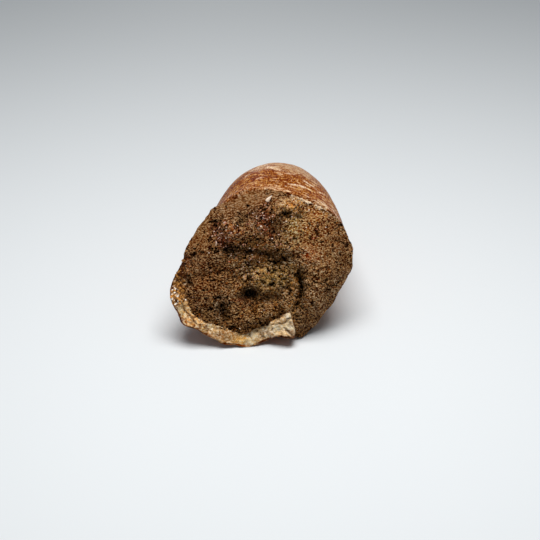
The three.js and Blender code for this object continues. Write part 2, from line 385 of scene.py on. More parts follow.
def round_crown(angle, along):
    """Places on a plain cylinder about as wide as the break, for patterns that run round the crown."""
    return np.stack([MEAN_RADIUS * np.cos(angle), MEAN_RADIUS * np.sin(angle), along + 0 * angle], -1)


CROWN_COLUMNS = 560
INNER_ROWS, RIM_ROWS, SKIN_ROWS = 6, 28, 136

# The sandstone's outline on the break, which the bare wall's inner edge follows: (angle, radius).
STONE_OUTLINE = [
    (3, 15.05), (14, 14.6), (25, 14.3), (33, 13.5), (42, 12.6), (52, 12.0), (62, 11.6), (81, 11.55),
    (99, 11.1), (110, 10.95), (120, 11.1), (130, 11.5), (142, 11.35), (161, 11.8), (168, 12.4),
    (174.5, 12.45), (183, 12.3), (192, 12.75), (197.5, 13.4), (205, 13.9), (212, 13.85), (219, 13.9),
    (225, 13.8), (229, 13.1), (233, 12.75), (239, 12.4), (246, 12.2), (252, 11.85), (257, 11.75),
    (260, 11.1), (264, 10.6), (268, 10.45), (273, 10.35), (277.5, 10.0), (283.5, 9.8), (288.5, 9.65),
    (290.5, 9.3), (292, 13.6), (295, 14.0), (298, 14.3), (302, 14.1), (306, 13.95), (313, 13.5),
    (335, 13.45), (343, 13.85), (352, 14.7),
]
# The outline steps out at this angle, where the bare wall ends and the sandstone laps over the rim.
STONE_STEPS_OUT = 289.5
# The bare wall's inner face stands this far inside the outline, and comes up from this share of the
# crown's length.
INNER_GAP = 0.35
CAVITY_FLOOR = 0.28
# The wall is bare between these two angles.
BARE_FROM, BARE_TO = 174, 293
# Cracks in the bare wall.
WALL_CRACKS = [
    (-13.0, -6.2, -12.6, -7.4, 0.12, 0.25), (-12.6, -7.4, -11.8, -8.4, 0.12, 0.3),
    (-11.8, -8.4, -11.0, -9.4, 0.12, 0.3), (-11.0, -9.4, -10.2, -9.9, 0.1, 0.2),
    (2.5, -9.95, 3.4, -9.8, 0.11, 0.35), (3.4, -9.8, 3.9, -9.15, 0.11, 0.45),
    (3.9, -9.15, 4.9, -9.2, 0.11, 0.35), (-1.2, -10.9, 0.2, -12.2, 0.13, 0.25),
    (3.2, -10.6, 4.5, -11.9, 0.16, 0.35), (-2.3, -11.4, -2.0, -12.4, 0.12, 0.25),
]

column_angle = np.arange(CROWN_COLUMNS) / CROWN_COLUMNS * 2 * np.pi
column_degrees = np.degrees(column_angle)
bare_begins = ease(column_degrees, BARE_FROM - 2, BARE_FROM + 3)
bare = bare_begins * (1 - ease(column_degrees, BARE_TO - 2, BARE_TO + 1))


def inner_radius(along, angle):
    """The wall's inner face: just inside the sandstone's outline where the wall is bare, and the
    cavity's own radius elsewhere and further in."""
    edge = outline(STONE_OUTLINE, np.minimum(angle, np.radians(STONE_STEPS_OUT)), 0.6) - INNER_GAP
    at_rim = mix(cavity_radius(0 * angle, angle), edge, bare)
    return mix(at_rim, cavity_radius(along, angle), ease(along, 0.02, 0.15))


chips_round = round_crown(column_angle, 0)
rim_height = outline(RIM_HEIGHTS, column_angle, 0.4)
rim_height = rim_height + 0.22 * bare * roughness(chips_round, 1.8, 11, 5, 0.6)
outer_share = share_at_height(column_angle, crown_radius, rim_height)
inner_share = share_at_height(column_angle, inner_radius, rim_height - 0.25)

# The inner face comes up from a flat floor inside the cavity. Depth is 1 there and 0 at the rim.
depth = np.linspace(1, 0, INNER_ROWS)[:, None]
inner_along = mix(inner_share, CAVITY_FLOOR, depth)
inner_angle = np.broadcast_to(column_angle, inner_along.shape)
inner_face = crown_point(inner_along, inner_angle, inner_radius(inner_along, inner_angle))
inner_floor = np.broadcast_to(centre_line(np.array([CAVITY_FLOOR])), (1, CROWN_COLUMNS, 3))

# The broken end of the wall. The dentine broke in steps and shells, porous and knobbly at its right
# end, whose inner corner leans over the sandstone.
across_wall = np.linspace(0, 1, RIM_ROWS + 2)[1:-1, None]
leaning = np.radians(6) * bell(column_degrees, 292, 4.5) * (1 - across_wall)
nicks = 0.2 * roughness(chips_round, 1.3, 17, 4, 0.65) * bare
inner_edge = crown_point(inner_share, column_angle, inner_radius(inner_share, column_angle) + nicks)
outer_edge = crown_point(outer_share, column_angle, crown_radius(outer_share, column_angle))
upright = mix(inner_edge, outer_edge, across_wall[..., None])
a, b, height = np.moveaxis(break_places(upright), -1, 0)
cos, sin = np.cos(leaning), np.sin(leaning)
rim_flat = break_point(a * cos - b * sin, a * sin + b * cos, height)
rim_a, rim_b, _ = np.moveaxis(break_places(rim_flat), -1, 0)
ragged_a = rim_a + 0.16 * roughness(rim_flat, 0.7, 23, 3)
ragged_b = rim_b + 0.16 * roughness(rim_flat, 0.7, 27, 3)
shells = roughness(rim_flat * [1, 1, 1.4], 1.7, 21, 5, 0.62)
steps = 0.3 * (np.floor(3 * shells) + ease(3 * shells - np.floor(3 * shells), 0.72, 1)) / 3
porous = bell(column_degrees, 281, 11, 4)
knobs = 0.5 * (np.abs(roughness(rim_flat, 1.1, 29, 3)) - 0.25) + 0.2 * roughness(rim_flat, 0.45, 33, 3)
chipped = np.minimum(np.abs(roughness(rim_flat, 0.55, 35, 2)) / 0.3, 1)
chipped = chipped + 0.5 * roughness(rim_flat, 0.3, 39, 2)
rounded = 0.4 * ease(across_wall, 0.86, 1) ** 2 + 0.3 * (1 - ease(across_wall, 0, 0.12))
wall_cracks = cracks(ragged_a, ragged_b, WALL_CRACKS)
bare_texture = 0.8 * steps + 0.12 * shells + porous * knobs + 0.1 * chipped - wall_cracks - rounded
# Elsewhere the enamel turns over the wall's end in a quarter round and meets the sandstone.
turned_over = 0.35 * np.sqrt(1 - across_wall**2) + 0.04 * roughness(rim_flat, 0.9, 25, 3)
rim_texture = mix(turned_over, bare_texture, bare)
rim_face = rim_flat + rim_texture[..., None] * break_out

# The skin, with growth bands round it and faint dents. Its rows are closest at the rim.
skin_share = np.linspace(0, 1, SKIN_ROWS)[:, None] ** 1.25
skin_along = mix(outer_share, 1, skin_share)
skin_angle = np.broadcast_to(column_angle, skin_along.shape)
skin_radius = crown_radius(skin_along, skin_angle)
crown_frame = round_crown(skin_angle, crown_length * skin_along)
bands = roughness(crown_frame * [0.16, 0.16, 1], 1.1, 31, 3)
dents = roughness(crown_frame, 5, 37, 4)
away_from_ends = ease(skin_share, 0, 0.02) * (1 - ease(skin_share, 0.97, 1))
skin_radius = skin_radius + away_from_ends * (0.04 * bands + 0.1 * dents)
skin = crown_point(skin_along, skin_angle, np.maximum(skin_radius, 0))
skin[-1] = skin[-1].mean(axis=0)

crown_rings = np.concatenate([inner_floor, inner_face, rim_face, skin])
tooth = ring_mesh("tooth_enamel_and_dentine", crown_rings)

# Its colours: cream and amber dentine, and orange-brown enamel with pale worn flecks along the bands.
CREAM = tone(242, 204, 150)
PALE_GREY = tone(230, 212, 170)
AMBER = tone(206, 134, 56)
RUST = tone(116, 46, 20)
WARM_WHITE = tone(255, 240, 208)
SHADOW_BROWN = tone(84, 52, 28)
RUST_TAN = tone(140, 88, 40)
ENAMEL_ORANGE = tone(154, 87, 25)
ENAMEL_RED = tone(146, 71, 21)
ENAMEL_TAN = tone(168, 106, 38)
ENAMEL_PALE = tone(226, 190, 150)
PAINTED_SHEEN_TAN = tone(212, 168, 116)
RIM_BROWN = tone(124, 74, 38)
RIM_TAN = tone(186, 136, 88)
SCRATCH_AND_HIGHLIGHT_CREAM = tone(240, 210, 174)
PORE_BROWN = tone(128, 88, 50)
CRACK_BROWN = tone(74, 44, 22)
INSIDE_BROWN = tone(150, 110, 70)
# Scratches in the enamel, and one painted highlight: (round, from the rim, round, from the rim,
# half-width, strength), in mm.
SCRATCHES_AND_HIGHLIGHT = [
    (15.4, 3.6, 14.3, 3.9, 0.3, 0.8), (14.3, 3.9, 12.6, 4.6, 0.3, 0.7), (13.1, 6.9, 12.1, 6.6, 0.3, 0.8),
    (12.1, 6.6, 10.9, 6.6, 0.3, 0.7), (10.2, 5.8, 9.3, 6.1, 0.3, 0.7), (9.3, 6.1, 8.4, 6.7, 0.3, 0.6),
    # The row from 20.7 round is the painted highlight, not a scratch.
    (9.6, 1.3, 8.3, 1.0, 0.25, 0.6), (8.3, 1.0, 6.4, 1.9, 0.25, 0.6), (20.7, 10.6, 18.6, 9.2, 0.7, 0.9),
    (24.7, 7.0, 24.0, 8.0, 0.4, 0.5), (16.6, 8.4, 15.2, 9.0, 0.4, 0.4), (22.0, 4.6, 21.0, 5.0, 0.3, 0.3),
]
# Stains on the bare wall: (a, b, half-width, half-height, strength, colour).
DENTINE_STAINS = [
    (-13.4, -1.6, 1.6, 4.4, 0.97, tone(104, 54, 20)),
    (-14.2, -3.6, 0.5, 1.6, 0.7, tone(190, 128, 60)),
    (-14.4, -4.6, 0.3, 0.8, 0.9, WARM_WHITE),
    (-13.2, -7.3, 0.7, 1.6, 0.5, PALE_GREY),
    (-12.5, -9.6, 1.0, 0.9, 0.45, AMBER),
    (-13.1, -9.0, 0.35, 0.6, 0.9, RUST),
    (-10.6, -10.3, 0.5, 0.45, 0.8, RUST),
    (-8.9, -10.4, 1.5, 0.35, 0.7, PALE_GREY),
    (-9.2, -11.6, 1.0, 0.5, 0.9, RUST),
    (-6.2, -11.6, 2.2, 1.2, 0.9, tone(164, 114, 62)),
    (-5.4, -12.4, 0.9, 0.5, 0.7, tone(160, 108, 56)),
    (-7.4, -12.4, 0.6, 0.5, 0.6, SHADOW_BROWN),
    (-3.4, -12.6, 1.9, 0.9, 0.9, tone(255, 208, 128)),
    (-4.0, -11.7, 0.5, 0.3, 0.5, tone(158, 138, 108)),
    (-4.6, -13.2, 1.6, 0.5, 0.4, AMBER),
    (-1.6, -12.0, 0.7, 0.5, 0.95, WARM_WHITE),
    (-3.0, -13.4, 2.4, 0.4, 0.4, WARM_WHITE),
    (0.6, -11.4, 1.2, 0.6, 0.8, WARM_WHITE),
    (2.2, -10.6, 1.5, 0.7, 0.8, WARM_WHITE),
    (4.3, -10.8, 0.8, 1.3, 0.95, WARM_WHITE),
    (3.9, -8.6, 0.7, 0.7, 0.9, WARM_WHITE),
    (4.2, -11.3, 0.6, 0.3, 0.6, AMBER),
    (0.9, -11.6, 0.5, 0.5, 0.8, tone(190, 130, 70)),
    (2.2, -10.2, 0.6, 0.3, 0.7, tone(140, 112, 78)),
    (3.0, -12.2, 1.6, 0.35, 0.8, tone(120, 70, 44)),
]

dentine = stained(CREAM, ragged_a, ragged_b, DENTINE_STAINS)
# On the left the wall is crystalline, and its colour varies from crystal to crystal.
crystalline = ease(rim_b, -6.5, -4.5) * (rim_a < 0)
glitter = roughness(rim_face, 0.45, 53, 3, 0.7)
dentine = deepened(dentine, np.exp(-crystalline * glitter))
# Low on the wall dentine is bleached in patches, then come rust and pores. One stretch is cleaner.
cleaner = bell(rim_a, -2.4, 1.6)
bleached = ease(roughness(rim_face, 1.1, 55, 5, 0.75), 0.05, 0.55) * (rim_b < -6.5)
dentine = laid_over(dentine, WARM_WHITE, 0.65 * bleached * (1 - 0.8 * bell(rim_a, -6.0, 1.8)))
rusty = ease(roughness(rim_face, 0.9, 51, 5, 0.75), 0.15, 0.55) * (1 - 0.7 * cleaner)
dentine = laid_over(dentine, RUST_TAN, (0.75 - 0.45 * porous) * rusty)
pores = ease(roughness(rim_face, 0.55, 57, 4, 0.7), 0.25, 0.75) * (1 - 0.6 * cleaner)
dentine = laid_over(dentine, PORE_BROWN, 0.8 * (0.4 + 0.5 * porous) * pores)
dentine = laid_over(dentine, CRACK_BROWN, 0.85 * np.minimum(1, 2 * wall_cracks))
wall_share = np.broadcast_to(across_wall, rim_a.shape)
edge_rust = ease(wall_share, 0.86, 0.95) * bare * ease(roughness(chips_round, 2.4, 59, 3), -0.5, 0.1)
dentine = laid_over(dentine, RUST, 0.85 * edge_rust)

on_right = np.cos(skin_angle - np.radians(5))
reddish = ease(roughness(crown_frame, 3.0, 61, 5, 0.65) + 0.15 * on_right, -0.2, 0.9)
enamel = laid_over(ENAMEL_ORANGE, ENAMEL_RED, 0.6 * reddish)
tan_band = ease(roughness(crown_frame * [0.2, 0.2, 1], 2.6, 67, 3), 0.1, 0.7)
enamel = laid_over(enamel, ENAMEL_TAN, 0.6 * tan_band)
from_rim = crown_length * (skin_along - outer_share)
pale_edge = bell(from_rim, 0, 1.6) * ease(roughness(crown_frame, 0.9, 69, 4, 0.7), 0, 0.6)
# Near the top of the break, dentine shows along the edge as a thin cream line.
line_place = bell(column_degrees, 84, 17, 4)
at_line = bell(from_rim, 0, 0.7) * line_place * ease(roughness(crown_frame, 1.2, 81, 3), -0.6, 0.1)
enamel = laid_over(enamel, ENAMEL_PALE, 0.7 * np.maximum(pale_edge, at_line))
# Painted sheen: a ragged pale band on the top, 9 to 20 mm behind the rim, which also gets some real
# polish.
sheen_band_edge = from_rim + 1.6 * roughness(crown_frame, 2.2, 73, 5, 0.7)
on_top = ease(np.cos(skin_angle - np.radians(98)), 0.5, 0.9)
polish_and_painted_sheen = ease(sheen_band_edge, 9, 11.5) * (1 - ease(sheen_band_edge, 18, 24)) * on_top
# The painted sheen, laid over the enamel's colour.
enamel = laid_over(enamel, PAINTED_SHEEN_TAN, 0.7 * polish_and_painted_sheen)
enamel = deepened(enamel, 1.08 - 0.22 * ease(on_right, 0.3, 0.95))
# Cream scratches on the top and the right, and one painted highlight near the top of the crown.
round_it = MEAN_RADIUS * skin_angle + 0.3 * roughness(crown_frame, 0.9, 75, 3, 0.6)
scratches_and_highlight = cracks(round_it, from_rim + 0.3 * roughness(crown_frame, 0.9, 77, 3, 0.6), SCRATCHES_AND_HIGHLIGHT)
enamel = laid_over(enamel, SCRATCH_AND_HIGHLIGHT_CREAM, np.minimum(scratches_and_highlight, 1))
# Where the enamel turns over, the cream line goes on along the sandstone, and it crumbles into a
# white crust at the upper right.
freckled = ease(roughness(rim_face, 0.5, 65, 4, 0.75), -0.3, 0.4)
rim_enamel = laid_over(RIM_BROWN, RIM_TAN, freckled)
crust = bell(column_degrees, 49, 15, 4)
cream_line = np.maximum(crust, line_place) * ease(roughness(rim_face, 0.8, 63, 4, 0.7), -0.8, -0.2)
cream_line = cream_line * (1 - ease(wall_share, 0.12 + 0.15 * crust, 0.3 + 0.2 * crust))
worn_through = ease(roughness(rim_face, 0.9, 69, 4, 0.7), -0.1, 0.5)
rim_enamel = laid_over(rim_enamel, ENAMEL_PALE, 0.2 * worn_through)
rim_enamel = laid_over(rim_enamel, WARM_WHITE, 0.85 * cream_line)
rim_enamel = deepened(rim_enamel, 1.1 - 0.3 * cream_line)
dentine = deepened(dentine, 1.03 + 0.25 * ease(-rim_a, 8, 11))
rim_colour = laid_over(rim_enamel, dentine, bare)


def on_tooth(inside, rim, skin):
    """A value for each vertex of the tooth, from those inside it, on its broken rim and on its skin.
    Each of the three is an array of [row, column, ...] or a single value for all."""
    rows = ((inside, INNER_ROWS + 1), (rim, RIM_ROWS), (skin, SKIN_ROWS))
    each = np.shape(skin)[2:]
    parts = [np.broadcast_to(part, (count, CROWN_COLUMNS, *each)) for part, count in rows]
    return poled(np.concatenate(parts))


# The mottling is strong on the upper side behind the break and faint elsewhere.
marked = 0.4 + 0.6 * (1 - ease(from_rim, 5, 20)) * ease(np.sin(skin_angle), -0.2, 0.7)
worn = 0.25 + 0.75 * ease(on_right, -0.2, 0.8) + 0.5 * bell(from_rim, 0, 2.0)
worn = worn * marked * (1 - 0.7 * ease(from_rim, 8, 22))
set_tint(tooth, on_tooth(INSIDE_BROWN, rim_colour, enamel))
set_number(tooth, "enamel", on_tooth(0, np.maximum(edge_rust, 1 - bare), 1))
set_number(tooth, "marked", on_tooth(0, 1, marked))
set_number(tooth, "worn", on_tooth(0, 0, np.minimum(worn, 1)))
# The band's mask: painted sheen in the colour, and real polish in the finish.
set_number(tooth, "polish_and_painted_sheen", on_tooth(0, 0, polish_and_painted_sheen))
# The places on a plain cylinder, in metres: the fleck pattern runs round it. The broken rim's rows
# lie up to 2 mm in front of the skin's first.
rim_frame = crown_frame[:1] + 2 * (across_wall[..., None] - 1) * [0, 0, 1]
growth = tooth.data.attributes.new("growth", "FLOAT_VECTOR", "POINT")
growth.data.foreach_set("vector", (on_tooth(rim_frame[:1], rim_frame, crown_frame) * MM).ravel())


def shader(name):
    """A new material and two ways to work on it. add(kind, ...) makes a node, gives it inputs in order
    or by name and settings by name, and returns its outputs. surface(inputs) gives the principled
    shader its own. An input is a constant or another node's output."""
    material = bpy.data.materials.new(name)
    material.use_nodes = True
    tree = material.node_tree

    def give(socket, value):
        """A node's output is joined to the socket, and a constant is set on it."""
        if isinstance(value, bpy.types.NodeSocket):
            tree.links.new(value, socket)
        else:
            socket.default_value = value

    def add(kind, *values, **named):
        node = tree.nodes.new("ShaderNode" + kind)
        for key, value in named.items():
            if key in node.inputs:
                give(node.inputs[key], value)
            else:
                setattr(node, key, value)
        for socket, value in zip(node.inputs, values):
            give(socket, value)
        return node.outputs

    def surface(inputs):
        for key, value in inputs.items():
            give(tree.nodes["Principled BSDF"].inputs[key], value)

    return material, add, surface


def object_noise(add, scale, detail, harshness=0.5):
    """Noise on Object coordinates whose features are 1/scale metres wide."""
    place = add("TexCoord")["Object"]
    return add("TexNoise", Vector=place, Scale=scale, Detail=detail, Roughness=harshness)["Fac"]


def drawn_out_noise(add, place, scales, detail, harshness):
    """The same at a place of its own, with a scale for each axis."""
    scaled = add("Mapping", Vector=place, Scale=scales)["Vector"]
    return add("TexNoise", Vector=scaled, Scale=1, Detail=detail, Roughness=harshness)["Fac"]


def ranged(add, value, low, high, to_low, to_high):
    """A value moved from one range to another, held at its ends."""
    return add("MapRange", value, low, high, to_low, to_high)["Result"]


def worked_out(add, operation, *values):
    """One step of arithmetic on values."""
    return add("Math", *values, operation=operation)["Value"]


def mixed(add, kind, share, first, second):
    """The first plus a share of the way to the second, of numbers (FLOAT) or colours (RGBA)."""
    return add("Mix", data_type=kind, Factor=share, A=first, B=second)["Result"]


def bumped(add, height, distance, strength):
    """A surface that looks raised by a height from 0 to 1 times a distance in metres."""
    return add("Bump", Height=height, Distance=distance, Strength=strength)["Normal"]


def attribute(add, name):
    """One of the piece's own attributes: its Color, Vector and Fac."""
    return add("Attribute", attribute_name=name)


# Enamel is a dense satin skin, mottled by fine brown grains and by pale flecks drawn out round the
# crown. Dentine is duller and finely porous.
tooth_finish, add, surface = shader("enamel_and_dentine")
enamel_share = attribute(add, "enamel")["Fac"]
polish = attribute(add, "polish_and_painted_sheen")["Fac"]
round_and_along = attribute(add, "growth")["Vector"]
streak_noise = drawn_out_noise(add, round_and_along, (650, 650, 2300), 3, 0.6)
speck_noise = drawn_out_noise(add, round_and_along, (3300, 3300, 1500), 1, 0.5)
# How deep the enamel's stain is: grains, streaks and specks multiplied, at most DEEPEST_ENAMEL, and
# turned towards an even PLAIN_ENAMEL where it is little marked.
DEEPEST_ENAMEL, PLAIN_ENAMEL = 2.0, 1.12
grains = ranged(add, object_noise(add, 3600, 2, 0.8), 0.38, 0.62, 1.4, 0.66)
streaks = ranged(add, streak_noise, 0.38, 0.6, 1.4, 0.7)
specks = ranged(add, speck_noise, 0.36, 0.6, 1.7, 0.75)
mottling = worked_out(add, "MULTIPLY", worked_out(add, "MULTIPLY", grains, streaks), specks)
mottling = worked_out(add, "MINIMUM", mottling, DEEPEST_ENAMEL)
enamel_depth = mixed(add, "FLOAT", attribute(add, "marked")["Fac"], PLAIN_ENAMEL, mottling)
dentine_depth = ranged(add, object_noise(add, 3400, 4, 0.8), 0.36, 0.6, 2.0, 0.5)
stain_depth = mixed(add, "FLOAT", enamel_share, dentine_depth, enamel_depth)
colour = add("Gamma", attribute(add, "tint")["Color"], stain_depth)["Color"]
flecks = ranged(add, streak_noise, 0.61, 0.64, 0, 0.95)
flecks = worked_out(add, "MULTIPLY", flecks, attribute(add, "worn")["Fac"])
surface({
    "Base Color": mixed(add, "RGBA", flecks, colour, linear(240, 204, 160)),
    "Roughness": ranged(add, enamel_share, 0, 1, 0.62, 0.26),
    "Specular IOR Level": ranged(add, polish, 0, 1, 0.005, 0.06),
    "Specular Tint": (1.0, 0.8, 0.62, 1),
    "Coat Weight": ranged(add, polish, 0, 1, 0, 0.1),
    "Coat Roughness": 0.12,
    "Normal": bumped(add, object_noise(add, 2400, 6, 0.7), 0.00012, 0.8),
})
tooth.data.materials.append(tooth_finish)
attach(tooth, "root")
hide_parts("tooth_crown")

# ---- Sandstone ----------------------------------------------------------------------------------
# The sand that filled the pulp cavity, set hard as brown iron-stained sandstone. It broke off rough
# across the break, and it laps over the tooth's rim on the right and at the upper left.

# Lumps and hollows of the break: (a, b, half-length, half-width, turn, height, steepness).
STONE_RELIEF = [
    (1.3, -3.1, 5.1, 4.3, 0, -2.0, 2.5),
    (1.6, -3.3, 3.5, 2.7, 0, 1.5, 1.5),
    (-2.1, -5.4, 1.5, 0.9, 15, -2.4, 1.5),
    (6.2, -4.3, 0.4, 2.2, 0, -1.6, 1.5),
    (-0.5, 1.4, 4.8, 0.8, -6, -0.7, 1),
    (-7.0, 5.6, 0.7, 1.2, 0, -0.9, 1),
    (-6.5, 3.9, 0.9, 1.3, 20, -1.1, 1),
    (-5.1, 2.2, 1.4, 0.9, -20, -1.0, 1),
    (-5.0, 5.7, 1.3, 1.2, 0, 1.0, 1),
    (-3.3, 4.6, 2.0, 1.5, 0, 0.8, 1),
    (-1.6, 7.3, 1.0, 1.4, 0, -0.5, 1),
    (0.3, 6.8, 1.1, 2.3, 0, 0.6, 1),
    (2.0, 4.8, 0.8, 1.6, 10, -0.6, 1),
    (2.4, 7.6, 0.9, 1.4, 0, 0.5, 1),
    (4.9, 9.1, 2.0, 1.0, -10, 0.9, 1.5),
    (3.9, 7.6, 0.7, 0.45, 10, -0.8, 1),
    (5.9, 7.1, 0.6, 0.4, 0, -0.7, 1),
    (5.5, 4.6, 0.8, 2.0, 0, 0.4, 1),
    (9.4, 4.5, 3.4, 4.0, 0, 0.6, 1.5),
    (7.3, 0.3, 1.4, 1.2, 0, 0.5, 1),
    (9.4, -4.8, 3.0, 4.6, 0, 0.9, 2),
    (5.4, -7.3, 0.8, 1.2, 0, -0.7, 1),
    (-4.0, -3.8, 0.9, 1.0, 0, 0.8, 1.5),
    (-0.1, -8.3, 4.4, 1.1, 22, 1.0, 1),
    (-0.3, -6.5, 3.0, 0.6, 20, -0.6, 1),
    (-6.7, -7.6, 0.7, 2.0, 5, -0.9, 1),
    (-8.3, 1.5, 2.1, 1.7, 0, 0.7, 1),
    (-10.4, -0.6, 1.4, 1.2, 0, 0.4, 1),
    (-9.5, -1.9, 1.8, 0.6, 10, -0.4, 1),
    (-9.4, -4.1, 2.7, 2.3, 0, 0.6, 1),
    (-7.0, -5.5, 0.5, 0.4, 0, -0.7, 1),
    (-12.0, -2.8, 0.8, 0.8, 0, -0.6, 1),
    (-11.9, 1.0, 0.8, 1.0, 0, -0.5, 1),
]
# How far the edge falls back from the break's plane: (angle, fall).
EDGE_FALL = [
    (0, 2.6), (60, 1.9), (110, 1.9), (150, 2.6), (180, 1.8), (205, 0.7), (290, 0.6), (298, 4.6),
    (308, 3.7), (330, 3.0),
]
# Where the break is smooth and fine-grained, and where it is coarse and crumbly:
# (a, b, half-width, half-height, strength).
SMOOTH_PLACES = [
    (-5.5, 9.4, 5.0, 2.2, 1.0), (0.0, 10.4, 3.5, 1.6, 0.9), (-9.5, 5.5, 2.6, 3.0, 0.8),
    (-8.2, 1.2, 2.4, 1.8, 0.4), (10.4, 2.0, 2.6, 4.0, 0.4), (-9.6, -3.0, 2.4, 2.2, 0.5),
    (-10.8, 3.0, 1.6, 1.8, 0.5),
]
COARSE_PLACES = [
    (1.4, -2.6, 4.4, 4.0, 1.0), (-6.3, 4.2, 1.5, 3.2, 0.9), (-1.5, 1.6, 5.0, 1.2, 1.0),
    (0.4, 6.6, 1.6, 2.8, 0.8), (4.8, 8.5, 2.4, 1.6, 1.0), (-6.7, -7.6, 1.2, 2.4, 0.8),
    (5.6, -6.0, 1.2, 3.4, 0.9), (-12.1, -0.6, 1.0, 2.6, 0.8),
]


def spots(a, b, table):
    """How much of the table's soft spots lies at a place, at most 1."""
    total = sum(s * np.exp(-((a - x) / w) ** 2 - ((b - y) / h) ** 2) for x, y, w, h, s in table)
    return np.clip(total, 0, 1)


def packed_grains(places, size, seed):
    """Round grains side by side: each square cell holds one at a random spot, and the height is that
    of the highest dome over the place, from 0 in the gaps to 1."""
    scaled = places / size
    cell = np.floor(scaled)
    height = np.zeros(places.shape[:-1])
    for step in np.ndindex(3, 3):
        here = np.concatenate([cell + step - 1, 0 * cell[..., :1]], -1)
        shift = np.stack([corner_noise(here, seed), corner_noise(here, seed + 1)], -1) - 0.5
        away = np.linalg.norm(scaled - (here[..., :2] + 0.5 + 0.7 * shift), axis=-1)
        radius = 0.5 + 0.28 * corner_noise(here, seed + 2)
        height = np.maximum(height, np.sqrt(np.clip(1 - (away / radius) ** 2, 0, None)) * radius / 0.78)
    return height


# Where the break is blocky: (a, b, half-width, half-height, strength).
BLOCKY_PLACES = [
    (0.8, -1.8, 3.6, 2.6, 1.0), (4.6, 8.6, 1.8, 1.2, 0.8), (-4.8, 5.0, 1.4, 1.4, 0.6),
    (0.4, -8.0, 3.4, 1.0, 0.4),
]
# The cleft on the mound's right, the one down the left and smaller ones.
STONE_CRACKS = [
    (5.6, -2.1, 6.1, -2.9, 0.22, 0.8), (6.1, -2.9, 6.0, -3.6, 0.24, 1.0),
    (6.0, -3.6, 6.5, -4.8, 0.26, 1.2), (6.5, -4.8, 6.3, -5.8, 0.24, 1.0),
    (6.3, -5.8, 5.9, -6.8, 0.2, 0.7), (-3.6, -0.8, -3.5, -2.2, 0.25, 0.3),
    (2.2, -0.2, 2.4, -0.4, 0.24, 1.1), (1.75, -1.85, 2.3, -1.6, 0.2, 1.1),
    (3.4, 0.45, 3.7, 0.15, 0.2, 1.0), (1.6, -3.9, 1.9, -3.6, 0.24, 1.0),
    (-2.4, -0.5, -2.1, -0.7, 0.2, 0.8), (3.6, -2.9, 4.0, -3.1, 0.2, 0.8),
    (-6.9, -6.6, -6.3, -8.4, 0.25, 0.5), (-6.3, -8.4, -5.6, -9.2, 0.2, 0.4),
]
# Where black pits crowd: (a, b, half-width, half-height, strength).
PITTED_PLACES = [
    (-5.0, 2.0, 1.8, 1.0, 1.0), (-1.2, 1.5, 3.2, 0.9, 0.9), (2.6, -0.6, 1.8, 0.8, 0.85),
    (-6.6, 4.4, 0.9, 2.4, 0.6), (-7.2, 6.2, 0.5, 0.7, 0.8), (4.1, 7.5, 1.2, 0.7, 1.0),
    (5.8, 6.7, 0.7, 0.5, 0.8), (1.2, 4.6, 1.0, 1.6, 0.5), (0.2, 8.0, 1.2, 1.2, 0.4),
    (2.2, -3.4, 3.0, 2.2, 0.45), (4.6, -4.4, 1.4, 2.0, 0.6), (6.2, -4.6, 0.8, 2.6, 0.9),
    (-7.2, -5.6, 0.8, 0.6, 0.9), (-6.8, -8.0, 1.0, 1.6, 0.9), (-9.4, -7.4, 1.4, 0.8, 0.6),
    (5.4, -7.6, 0.8, 1.2, 0.7), (-12.0, -2.8, 0.8, 0.9, 0.9), (-9.6, -2.0, 1.8, 0.5, 0.6),
    (-11.6, 1.4, 1.0, 0.8, 0.5), (-0.6, -6.2, 2.6, 0.6, 0.6), (2.1, -0.2, 0.4, 0.35, 1.0),
    (2.0, -1.6, 0.6, 0.4, 0.9), (1.6, -3.8, 0.5, 0.5, 1.0), (3.4, 0.4, 0.5, 0.3, 1.0),
    (1.6, -9.6, 2.4, 0.7, 0.6), (10.4, 1.8, 2.0, 0.8, 0.35), (8.6, 4.2, 1.8, 1.0, 0.35),
    (-4.0, -10.6, 3.0, 0.8, 0.6),
]


def on_plane(a, b):
    """Places of the break's plane as points, for the noises."""
    return np.stack([a, b, 0 * a], -1)


def stone_forms(a, b):
    """The broken sandstone's main forms: its edge falls back, and lumps and hollows stand on it."""
    angle = np.arctan2(b, a)
    reach = np.hypot(a, b) / outline(STONE_OUTLINE, angle)
    height = -outline(EDGE_FALL, angle, 6) * ease(reach, 0.62, 1.12) ** 1.5
    for middle_a, middle_b, half_length, half_width, turn, rise, steepness in STONE_RELIEF:
        cos, sin = np.cos(np.radians(turn)), np.sin(np.radians(turn))
        lengthwise = ((a - middle_a) * cos + (b - middle_b) * sin) / half_length
        crosswise = ((b - middle_b) * cos - (a - middle_a) * sin) / half_width
        height = height + rise * np.exp(-((lengthwise**2 + crosswise**2) ** steepness))
    return height


def stone_clefts(a, b):
    """How deep the clefts are, along lines made ragged by a fine noise."""
    places = on_plane(a, b)
    ragged = [0.22 * roughness(places, 0.8, seed, 3, 0.6) for seed in (161, 167)]
    return cracks(a + ragged[0], b + ragged[1], STONE_CRACKS)


def stone_pits(a, b):
    """Ragged pits, 0 to 1, where a rough noise runs high. They crowd in the pitted places."""
    crowding = 0.85 * spots(a, b, PITTED_PLACES)
    return ease(roughness(on_plane(a, b), 0.6, 171, 4, 0.65) + crowding, 0.85, 1.2)


def blocks(a, b):
    """Coarse lumps about 0.7 mm wide with deep gaps between them, where the break is blocky: how
    blocky it is, and the height over the gaps."""
    places = on_plane(a, b)
    warped = [place + 0.2 * smooth_noise(places, 0.8, seed) for place, seed in ((a, 181), (b, 183))]
    return spots(a, b, BLOCKY_PLACES), packed_grains(np.stack(warped, -1), 0.68, 185)


